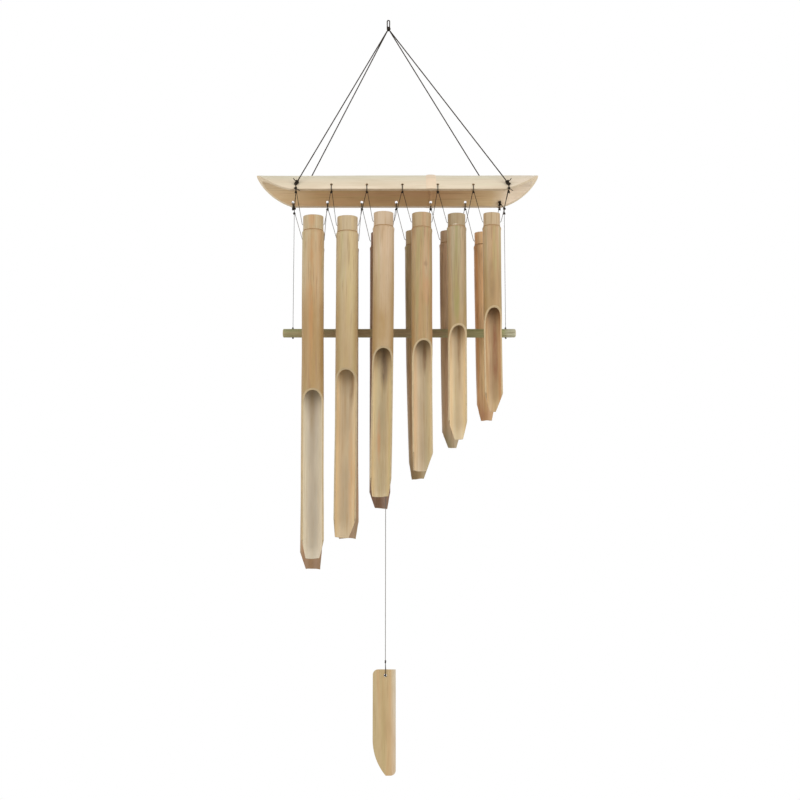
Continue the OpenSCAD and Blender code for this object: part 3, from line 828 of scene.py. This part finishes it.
def rod_piece(materials):
    """A cane with rounded ends and a pith hollow in each of them."""
    count = 28
    steps = 60
    rim, tip = 0.7, 1.8
    pith_r, pith_depth = 1.6, 2.5
    shell = Shell()
    stations = [(ROD_LEFT, 0.55), (ROD_LEFT + rim, 0.94), (ROD_LEFT + tip, 1.0)]
    span = ROD_RIGHT - ROD_LEFT - 2 * tip
    stations += [(ROD_LEFT + tip + span * k / steps, 1.0) for k in range(1, steps)]
    stations += [(ROD_RIGHT - tip, 1.0), (ROD_RIGHT - rim, 0.94), (ROD_RIGHT, 0.55)]
    rows = []
    for x, share in stations:
        ids = []
        for j in range(count):
            t = 2 * math.pi * j / count
            radius = ROD_D / 2 * share * (1 + wobble(math.sin(t) * 1.4, math.cos(t) * 1.4, x / 45, 0.025))
            ids.append(shell.point(x, radius * math.sin(t), ROD_Z + radius * math.cos(t)))
        rows.append(ids + ids[:1])
    for k, (a, b) in enumerate(zip(rows, rows[1:])):
        shell.strip(a, b, CUT if k in (0, len(rows) - 2) else SKIN)
    for ids, x in ((rows[0], ROD_LEFT + pith_depth), (rows[-1], ROD_RIGHT - pith_depth)):
        hollow = []
        for j in range(count):
            t = 2 * math.pi * j / count
            hollow.append(shell.point(x, pith_r * math.sin(t), ROD_Z + pith_r * math.cos(t)))
        hollow += hollow[:1]
        shell.strip(ids, hollow, CUT)
        shell.fan(hollow, shell.point(x, 0, ROD_Z), WALL)
    shell.build("striker_rod_cane", materials, "striker", "rod_bamboo", ["striker_rod"])


# The paler right end of the rod's skin is painted light, where the rod hangs clear of the front tubes' shade
rod_skin = bamboo(
    "rod_skin", ((164, 160, 112), (172, 150, 110), (152, 158, 100), (122, 108, 74)), 5.7,
    axis="x", streak=150.0, contrast=1.25, fades=[("x", 158, 166, (204, 201, 174), 0.9)]
)
rod_pith = cut_wood("rod_pith", (120, 96, 62), (84, 64, 40), 0.2)
rod_piece([rod_skin, rod_pith, pale_cut])


# Sail


def sail_piece(materials):
    """A strip split from a culm, curved along its lower left edge, with a hole at its top."""
    half = SAIL_W / 2
    count = 20
    corner_rows, middle_rows = 8, 26
    edge_in = 0.15
    past = 9
    shell = Shell()

    def left_edge(z):
        low = -SAIL_LEN + SAIL_CURVE_H
        if z > low:
            edge = -half
        else:
            edge = -half + SAIL_CURVE_R - math.sqrt(SAIL_CURVE_R ** 2 - (z - low) ** 2)
        if z > -SAIL_CORNER_R:
            corner = math.sqrt(max(0, SAIL_CORNER_R ** 2 - (z + SAIL_CORNER_R) ** 2))
            edge = max(edge, -half + SAIL_CORNER_R - corner)
        return edge

    def right_edge(z):
        foot = -SAIL_LEN + SAIL_CORNER_R
        if z >= foot:
            return half
        return half - SAIL_CORNER_R + math.sqrt(max(0, SAIL_CORNER_R ** 2 - (z - foot) ** 2))

    quarter = [math.pi / 2 * k / corner_rows for k in range(corner_rows + 1)]
    levels = [-SAIL_CORNER_R * (1 - math.cos(t)) for t in quarter]
    levels += list(np.linspace(-SAIL_CORNER_R - 5, -SAIL_LEN + SAIL_CORNER_R, middle_rows))
    levels += [-SAIL_LEN + SAIL_CORNER_R * (1 - math.sin(t)) for t in quarter[1:]]

    def row(z, radius, inset):
        ids = []
        a = left_edge(z) + inset
        b = right_edge(z) - inset
        for j in range(count + 1):
            x = a + (b - a) * j / count
            y = SAIL_R - SAIL_WALL / 2 - math.sqrt(radius ** 2 - x ** 2) + wobble(x / 12, z / 40, radius, 0.5)
            ids.append(shell.point(SAIL_X + x, y, SAIL_Z + z))
        return ids

    front = [row(z, SAIL_R, edge_in) for z in levels]
    back = [row(z, SAIL_R - SAIL_WALL, edge_in) for z in levels]
    shell.sheet(front, SKIN)
    shell.sheet(back, WALL)
    for k in range(1, len(levels)):
        shell.face((front[k - 1][0], front[k][0], back[k][0], back[k - 1][0]), CUT)
        shell.face((front[k - 1][-1], front[k][-1], back[k][-1], back[k - 1][-1]), CUT)
    shell.strip(front[0], back[0], CUT)
    shell.strip(front[-1], back[-1], CUT)
    piece = shell.build("wind_sail_strip", materials, "wind_sail", "sail_bamboo", ["sail"])
    hole = [((SAIL_CORD_X, -past, SAIL_HOLE_Z), (SAIL_CORD_X, past, SAIL_HOLE_Z))]
    drill(piece, round_cutters("sail_hole", hole, SAIL_HOLE_D), materials[CUT])


sail_skin = bamboo(
    "sail_skin", ((192, 167, 122), (196, 158, 110), (182, 162, 112), (168, 134, 90)), 6.4,
    fades=[("x", SAIL_X + 8, SAIL_X + 14, (206, 192, 168), 0.9)]
)
sail_wall = bamboo("sail_wall", ((210, 182, 140), (204, 168, 122), (196, 172, 124), (178, 142, 98)), 8.2)
sail_piece([sail_skin, sail_wall, pale_cut])


# Cords and knots

DARK_CORD = ((32, 24, 14), (72, 57, 38))
RUBBED = (140, 134, 127)
cord_black = waxed_cord("waxed_cord", *DARK_CORD)
thread_grey = waxed_cord("rod_thread", (60, 55, 50), (112, 104, 96))
sail_thread = waxed_cord("sail_thread", (118, 112, 105), (146, 140, 132))
lacing_cord = {
    "front": waxed_cord("front_lacing_cord", *DARK_CORD, (-290, -300, RUBBED)),
    "back": waxed_cord("back_lacing_cord", *DARK_CORD, (-272, -282, RUBBED)),
}


def rounded(points, radius, step):
    """A smooth path through straight runs, with each corner rounded."""
    corner_steps = 8
    most = 0.45
    points = [Vector(p) for p in points]
    path = [points[0]]
    for k in range(1, len(points) - 1):
        before = points[k - 1] - points[k]
        after = points[k + 1] - points[k]
        reach = min(radius, before.length * most, after.length * most)
        a = points[k] + before.normalized() * reach
        b = points[k] + after.normalized() * reach
        for s in range(corner_steps + 1):
            t = s / corner_steps
            path.append(a * (1 - t) ** 2 + points[k] * 2 * t * (1 - t) + b * t * t)
    path.append(points[-1])
    even = [path[0]]
    for p, q in zip(path, path[1:]):
        parts = max(1, math.ceil((q - p).length / step))
        even += [p + (q - p) * s / parts for s in range(1, parts + 1)]
    return even


def twist_into(shell, path, d, closed=False, plies=3, pitch=3.4, per_ply=4):
    """A laid cord of a few plies along a path."""
    count = plies * per_ply
    u = None
    run = 0.0
    rows = []
    last = len(path) - 1
    for k, p in enumerate(path):
        ahead = path[(k + 1) % len(path)] if closed or k < last else p
        behind = path[k - 1] if closed or k > 0 else p
        along = (ahead - behind).normalized()
        if u is None:
            u = across(along)[0]
        u = (u - along * u.dot(along)).normalized()
        v = along.cross(u)
        if k:
            run += (p - path[k - 1]).length
        turn = 2 * math.pi * run / (pitch * d)
        ids = []
        for j in range(count):
            t = 2 * math.pi * j / count
            radius = d / 2 * (0.9 + 0.1 * math.cos(plies * t))
            q = p + (u * math.cos(t + turn) + v * math.sin(t + turn)) * radius
            ids.append(shell.point(*q))
        rows.append(ids + ids[:1])
    shell.sheet(rows, SKIN)
    if closed:
        shell.strip(rows[-1], rows[0], SKIN)
    else:
        shell.fan(rows[0], shell.point(*path[0]), SKIN)
        shell.fan(rows[-1], shell.point(*path[-1]), SKIN)


def run_into(shell, points, d=LACE_D, bend=0.0, step=TIE_STEP):
    """A laid cord along straight runs, with its corners rounded."""
    twist_into(shell, rounded(points, bend, step), d)


def knot_into(shell, centre, size, d, lift=UP, turn=0.0):
    """A pulled-tight overhand knot: a trefoil of cord about a centre."""
    steps = 54
    axis = Vector(lift).normalized()
    u, v = across(axis)
    u, v = u * math.cos(turn) + v * math.sin(turn), v * math.cos(turn) - u * math.sin(turn)
    path = []
    for k in range(steps):
        t = 2 * math.pi * k / steps
        a = (math.sin(t) + 2 * math.sin(2 * t)) / 3
        b = (math.cos(t) - 2 * math.cos(2 * t)) / 3
        c = -math.sin(3 * t) * 0.75
        path.append(Vector(centre) + (u * a + v * b + axis * c) * size)
    twist_into(shell, path, d, closed=True, per_ply=3)


def tie_piece(shell, name, body, *nodes):
    """Black cord and knots, in place of nodes."""
    shell.build(name, [cord_black], body, "cord", nodes, SHARP_CORD)


def cord_piece(name, points, d, body, replaces, material, bend=0.0):
    """A taut cord along its points."""
    path = rounded(points, bend, STEP_SHARE * d)
    shell = Shell()
    twist_into(shell, path, d)
    piece = shell.build(name, [material], body, "cord", replaces, SHARP_CORD)


def loop_path(row, x):
    """The way of a lacing loop through its hole and round the rim."""
    s = SIDE[row]
    ring = RING_H if abs(x - RING_AT) < RING_W / 2 else 0.0
    near = LACE_D / 2 + 0.15
    corners = [
        on_hole(row, x, CARRIER_R + ring + near, HOLE_D / 2 - near),
        (x, s * (RIM_OUT + ring + near), RIM_Z - near),
        (x, s * (RIM_IN - near), RIM_Z - near),
        on_hole(row, x, CULM_IN - near, HOLE_D / 2 - near),
    ]
    corners = [Vector(c) for c in corners]
    middle = (corners[0] + corners[3]) / 2
    return rounded([middle] + corners + [middle], 1.4, TIE_STEP)


def rim_loop_into(shell, row, x, turn):
    """A lacing loop with its knot below the rim."""
    twist_into(shell, loop_path(row, x), LACE_D)
    y = SIDE[row] * ROW_Y
    knot_into(shell, (x, y, KNOT_Z + 0.4), 1.55, LACE_D, lift=(0.2, 1, 0.3), turn=turn)
    run_into(shell, [(x, y, RIM_Z - LACE_OFF), (x, y, KNOT_Z)])


APEX = Vector((0, 0, -LOOP_LEN))


def hanging_end(row, end):
    """A hanging cord, and the knots and loose ends that tie it off round the rim."""
    i = END_HOLES[end]
    x = hole_x(row, i)
    outward = 1 if end == "right" else -1
    knot_d, wrap_d, knot_gap = 1.5, 1.4, 3.2
    if row == "front":
        tie = Vector(on_hole(row, x, CARRIER_R + LACE_OFF))
        up = 3.6
        size = 2.5 if end == "right" else 2.4
    else:
        tie = Vector((x + BACK_TIE_IN[end], RIM_OUT + 1.3, RIM_Z))
        up = 9.0
        size = 1.9
    along = (tie - APEX).normalized()
    cord_piece(
        f"{row}_{end}_hanging_cord", [APEX + along * 2.5, tie], HANG_CORD_D, "chime_frame",
        [f"{row}_{end}_cord"], cord_black
    )
    shell = Shell()
    rim_loop_into(shell, row, x, 0.4 * i)
    knot_into(shell, tie - along * up, size, knot_d, lift=along, turn=0.7 + i)
    knot_into(shell, tie - along * (up - knot_gap), size - 0.3, wrap_d, lift=along, turn=1.9 + i)
    tail = [tie - along * up]
    tail += [tie + Vector((t * outward, SIDE[row] * t * 0.65, 1.7 * t + up - 1.8)) for t in (2.2, 3.4)]
    run_into(shell, tail, bend=2.0)
    rim_y = SIDE[row] * (RIM_OUT + 0.8)
    rim_knot = (x, rim_y, RIM_Z + 0.6)
    knot_into(shell, rim_knot, 1.7, LACE_D, lift=(0, 1, 0.4), turn=0.5)
    if row == "front":
        loose = [rim_knot, (x + 3.2, rim_y + 1.0, RIM_Z - 1.2), (x + 5.4, rim_y + 2.5, RIM_Z - 2.2)]
        run_into(shell, loose, bend=2.0)
    elif end == "right":
        inside = Vector(on_hole(row, x, CULM_IN - 1.6))
        for k in range(2):
            lower = inside + Vector((0, 0.3 * k, -3.4 * k))
            knot_into(shell, lower, 1.9, wrap_d, lift=(0, 1, 0.3), turn=0.6 + k)
    tie_piece(shell, f"{row}_{end}_end_knots", "chime_frame")


for row in ROWS:
    for end in END_HOLES:
        hanging_end(row, end)
    shell = Shell()
    for i in range(1, TUBES):
        rim_loop_into(shell, row, hole_x(row, i), 0.8 * i)
    tie_piece(shell, f"{row}_lacing_knots", "chime_frame", f"{row}_rim_knots")

shell = Shell()
strand_x = (LOOP_GAP + HANG_CORD_D) / 2
loop = [Vector((strand_x, 0, -LOOP_LEN))]
for t in np.linspace(0, math.pi, 13):
    loop.append(Vector((strand_x * math.cos(t), 0, -LOOP_GAP / 2 + strand_x * math.sin(t))))
loop.append(Vector((-strand_x, 0, -LOOP_LEN)))
run_into(shell, loop, HANG_CORD_D, bend=0.2, step=0.6)
knot_into(shell, APEX, 2.4, HANG_CORD_D, lift=(0, 0.3, 1))
tie_piece(shell, "hanging_loop_knot", "chime_frame", "hanging_loop")

for end, i in END_HOLES.items():
    x = PAIR_X[end]
    shell = Shell()
    for row in ROWS:
        inside = on_hole(row, hole_x(row, i), CULM_IN - LACE_OFF)
        run_into(shell, [inside, (x, 0, BRIDLE_Z)])
    knot_into(shell, (x, 0, BRIDLE_Z), 1.7, LACE_D)
    tie_piece(shell, f"{end}_bridle_cord", "chime_frame", f"{end}_bridle")
    shell = Shell()
    run_into(shell, [(x, 0, BRIDLE_Z), (x, 0, LINK_Z)])
    knot_into(shell, (x, 0, LINK_Z), 1.4, LACE_D, turn=0.5)
    tie_piece(shell, f"{end}_rod_link_cord", f"{end}_link", f"{end}_rod_link")
    cord_piece(
        f"{end}_rod_hanging_cord", [(x, 0, LINK_Z), (x, 0, ROD_KNOT_Z)], THREAD_D, f"{end}_rod_string",
        [f"{end}_rod_cord"], thread_grey
    )


def coil_into(shell, x, turns, d):
    """Cord wound round the rod."""
    per_turn = 26
    radius = ROD_D / 2 + d / 2 + 0.05
    path = []
    for k in range(turns * per_turn + 1):
        t = 2 * math.pi * k / per_turn
        shift = (k / (turns * per_turn) - 0.5) * turns * d * 1.02
        path.append(Vector((x + shift, radius * math.sin(t), ROD_Z + radius * math.cos(t))))
    twist_into(shell, path, d)


shell = Shell()
under_rod = ROD_Z - ROD_D / 2 - 0.9
for x in PAIR_X.values():
    knot_into(shell, (x, 0, ROD_Z + ROD_D / 2 + 1.1), 1.1, THREAD_D, turn=0.9)
    knot_into(shell, (x, 0, under_rod), 1.0, THREAD_D, turn=0.3)
    run_into(shell, [(x, 0, ROD_KNOT_Z), (x, 0, under_rod)], THREAD_D)
tie_piece(shell, "rod_tie_cords", "striker", "rod_ties")

shell = Shell()
coil_into(shell, SAIL_CORD_X, 3, LACE_D)
knot_into(shell, (SAIL_CORD_X, 0, SAIL_HITCH_Z + 1.6), 1.6, LACE_D, turn=0.2)
tie_piece(shell, "sail_hitch_cord", "sail_collar", "sail_hitch")
shell = Shell()
run_into(shell, [(SAIL_CORD_X, 0, SAIL_HITCH_Z + 0.8), (SAIL_CORD_X, 0, SAIL_LINK_Z)])
knot_into(shell, (SAIL_CORD_X, 0, SAIL_LINK_Z), 1.3, LACE_D, turn=1.2)
tie_piece(shell, "sail_link_cord", "sail_swivel", "sail_link")
cord_piece(
    "sail_hanging_cord", [(SAIL_CORD_X, 0, SAIL_LINK_Z), (SAIL_CORD_X, 0, SAIL_KNOT_Z)], SAIL_CORD_D,
    "sail_string", ["sail_cord"], sail_thread
)
shell = Shell()
loop_top = SAIL_KNOT_Z - 1.8
knot_into(shell, (SAIL_CORD_X, 0, SAIL_KNOT_Z), 0.95, THREAD_D, turn=0.3)
knot_into(shell, (SAIL_CORD_X, 0, loop_top), 0.85, THREAD_D, turn=1.5)
off = SAIL_WALL / 2 + SAIL_CORD_D / 2 + 0.2
through = [
    (SAIL_CORD_X, 0, loop_top), (SAIL_CORD_X + 0.5, -off, SAIL_Z), (SAIL_CORD_X, -off, SAIL_HOLE_Z),
    (SAIL_CORD_X, off, SAIL_HOLE_Z), (SAIL_CORD_X, off, SAIL_Z), (SAIL_CORD_X, 0, loop_top),
]
run_into(shell, through, SAIL_CORD_D, bend=1.6, step=STEP_SHARE * SAIL_CORD_D)
knot_into(shell, (SAIL_CORD_X, 0.8 - off, SAIL_HOLE_Z - 0.2), 1.5, SAIL_CORD_D, lift=(0, 1, 0), turn=0.4)
tie_piece(shell, "sail_loop_cord", "wind_sail", "sail_loop")

for row in ROWS:
    y = SIDE[row] * ROW_Y
    for i in range(TUBES):
        x = tube_x(row, i)
        out = TUBE_D[i] / 2 - NECK_STEP + 1.05
        bore_z = RIM_Z - DROP[row][i] - BORE_DEPTH
        points = [
            (hole_x(row, i) + 1.0, y, KNOT_Z), (x - out, y, bore_z),
            (x + out, y, bore_z), (hole_x(row, i + 1) - 1.0, y, KNOT_Z),
        ]
        cord_piece(
            f"{row}_tube_{i + 1}_v_cord", points, V_CORD_D, f"{row}_cord_{i + 1}",
            [f"{row}_tube_cord_{i + 1}"], lacing_cord[row], bend=2.6
        )


# Stage, light and camera

scene = bpy.context.scene
scene.view_settings.view_transform = "Standard"

FLOOR_Z = -1280.0
FLOOR_R = 2600.0
FLOOR_SIDES = 96
shell = Shell()
around = np.linspace(0, 2 * math.pi, FLOOR_SIDES + 1)[:-1]
rim = [shell.point(FLOOR_R * math.cos(t), FLOOR_R * math.sin(t), FLOOR_Z) for t in around]
floor_mesh = bpy.data.meshes.new("floor")
floor_mesh.from_pydata(shell.points, [], [rim])
floor = bpy.data.objects.new("floor", floor_mesh)
scene.collection.objects.link(floor)
floor_nodes = Nodes("floor_white")
floor_speckle = floor_nodes.noise(floor_nodes.place(), 30.0)
floor_colour = floor_nodes.mix(floor_speckle, srgb(238, 238, 236), srgb(232, 232, 230))
floor_mesh.materials.append(floor_nodes.finish(floor_colour, 0.8))

AMBIENT = 0.62
world = bpy.data.worlds.new("white_room")
scene.world = world
world.use_nodes = True
tree = world.node_tree
background = tree.nodes["Background"]
rays = tree.nodes.new("ShaderNodeLightPath").outputs
seen = rays["Is Camera Ray"]
for kind in ("Is Glossy Ray", "Is Transmission Ray"):
    either = tree.nodes.new("ShaderNodeMath")
    either.operation = "MAXIMUM"
    tree.links.new(seen, either.inputs[0])
    tree.links.new(rays[kind], either.inputs[1])
    seen = either.outputs[0]
strength = tree.nodes.new("ShaderNodeMapRange")
tree.links.new(seen, strength.inputs[0])
strength.inputs[3].default_value = AMBIENT
strength.inputs[4].default_value = 1.0
background.inputs["Color"].default_value = (1, 1, 1, 1)
tree.links.new(strength.outputs[0], background.inputs["Strength"])


def area_light(name, place, aim, size, power):
    data = bpy.data.lights.new(name, "AREA")
    data.shape = "SQUARE"
    data.size = size
    data.energy = power
    made = bpy.data.objects.new(name, data)
    made.location = place
    made.rotation_euler = (Vector(aim) - Vector(place)).to_track_quat("-Z", "Y").to_euler()
    scene.collection.objects.link(made)


TARGET = (0.015, 0, -0.5)
area_light("left_box", (-2.1, -1.7, -0.45), TARGET, size=1.7, power=22)
area_light("right_box", (2.1, -1.7, -0.45), TARGET, size=1.7, power=27)

CAMERA_AT = (0.0165, -2.442, -1.0231)
CAMERA_PITCH = math.radians(100.92)
camera_data = bpy.data.cameras.new("camera")
camera_data.lens = 81.54
camera_data.sensor_width = 36.0
camera_data.clip_start = 0.05
camera = bpy.data.objects.new("camera", camera_data)
camera.location = CAMERA_AT
camera.rotation_euler = (CAMERA_PITCH, 0, 0)
scene.collection.objects.link(camera)
scene.camera = camera
